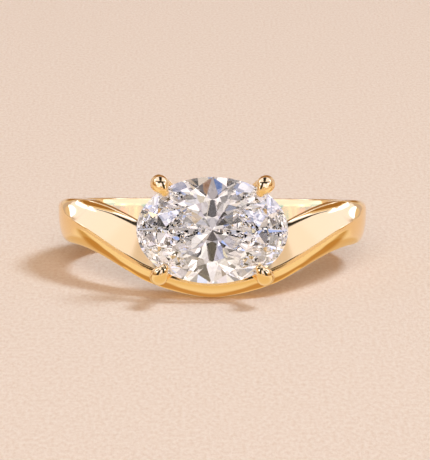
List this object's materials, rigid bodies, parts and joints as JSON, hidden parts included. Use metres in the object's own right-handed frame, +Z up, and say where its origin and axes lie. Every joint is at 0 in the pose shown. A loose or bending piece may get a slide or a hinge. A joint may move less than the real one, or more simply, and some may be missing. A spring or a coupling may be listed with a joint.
{
  "type": "east west solitaire ring",
  "caption": "Gold finger ring whose scooped band dips under an oval brilliant set sideways in claws.",
  "frame": {"origin": "bottom centre of the ring as it rests on its side", "axes": "+Z up, -Y the way the stone faces, +X along the stone; the finger hole leans from +Z towards +Y by 10.2 degrees"},
  "size_m": [0.0206, 0.0245, 0.0085],
  "materials": {
    "yellow_gold": "polished yellow gold",
    "clear_stone": "cut and polished, colourless"
  },
  "bodies": {
    "root": {"band_and_setting": "yellow_gold", "stone": "clear_stone"}
  },
  "joints": []
}
